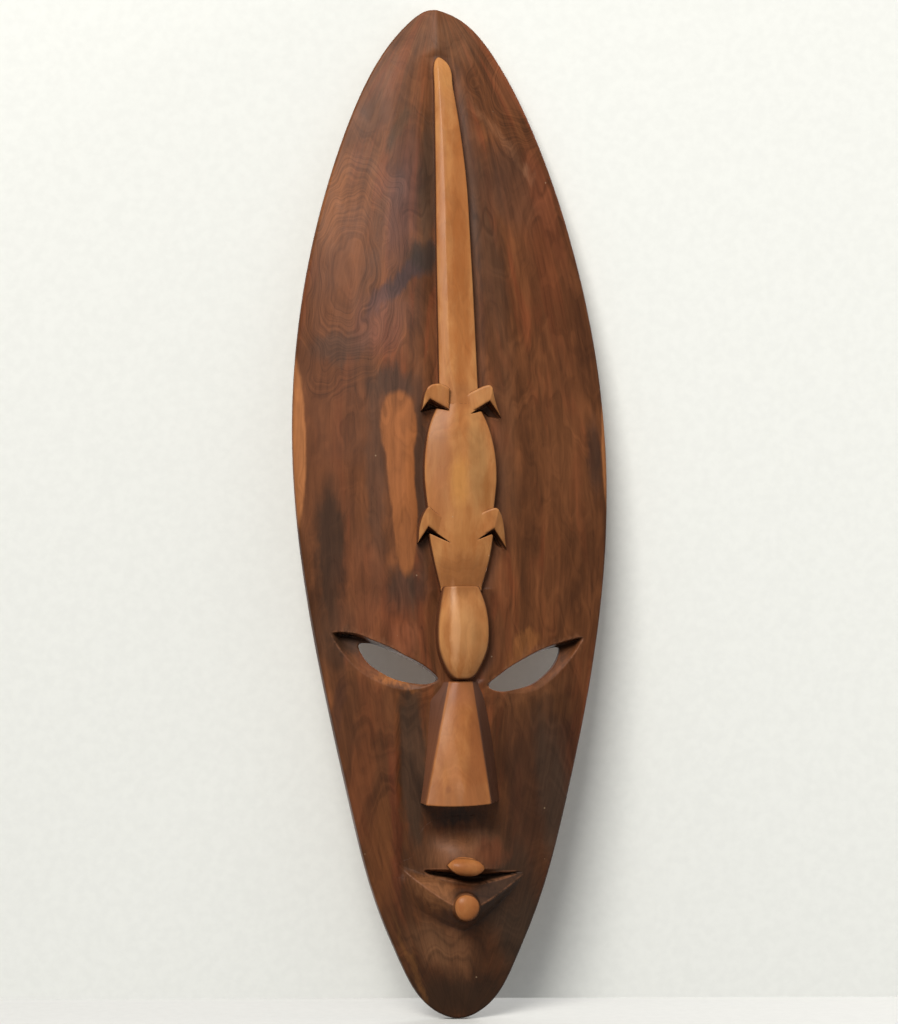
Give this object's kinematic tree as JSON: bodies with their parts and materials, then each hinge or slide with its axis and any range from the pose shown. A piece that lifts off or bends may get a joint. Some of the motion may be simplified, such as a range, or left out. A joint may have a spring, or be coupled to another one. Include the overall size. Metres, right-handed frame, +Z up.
{
  "type": "wall mask",
  "caption": "Long pointed-oval carved wooden wall mask with slit eyes, wedge nose, small lips and a lizard in relief down its brow; hollow back with a ring hanger.",
  "frame": {"origin": "the point on the wall plane where a wall hook stands in the hanger's recess and carries the raised ring", "axes": "+Z up along the mask's length, +X to the viewer's right, -Y out of the wall the way the face looks; the flat back rim lies in the plane Y = 0"},
  "size_m": [0.2975, 0.063, 0.9504],
  "materials": {
    "heartwood": "waxed satin",
    "sapwood": "waxed satin",
    "hanger_metal": "nickel plated",
    "screw_metal": "zinc plated"
  },
  "bodies": {
    "mask": {"mask_board": "heartwood", "nose": "sapwood", "upper_lip": "heartwood", "upper_lip_bead": "sapwood", "lower_lip": "heartwood", "lower_lip_bead": "sapwood", "lizard_head": "sapwood", "lizard_body": "sapwood", "lizard_tail": "sapwood", "lizard_hind_leg_left": "sapwood", "lizard_hind_leg_right": "sapwood", "lizard_front_leg_left": "sapwood", "lizard_front_leg_right": "sapwood", "hanger_strap": "hanger_metal", "hanger_screws": "screw_metal"},
    "ring": {"hanger_ring": "hanger_metal"}
  },
  "joints": [
    {"name": "ring_swing", "type": "hinge", "parent": "mask", "child": "ring", "pos_m": [0, -0.01685, -0.01575], "axis": [1, 0, 0], "range_deg": [0, 180]}
  ]
}
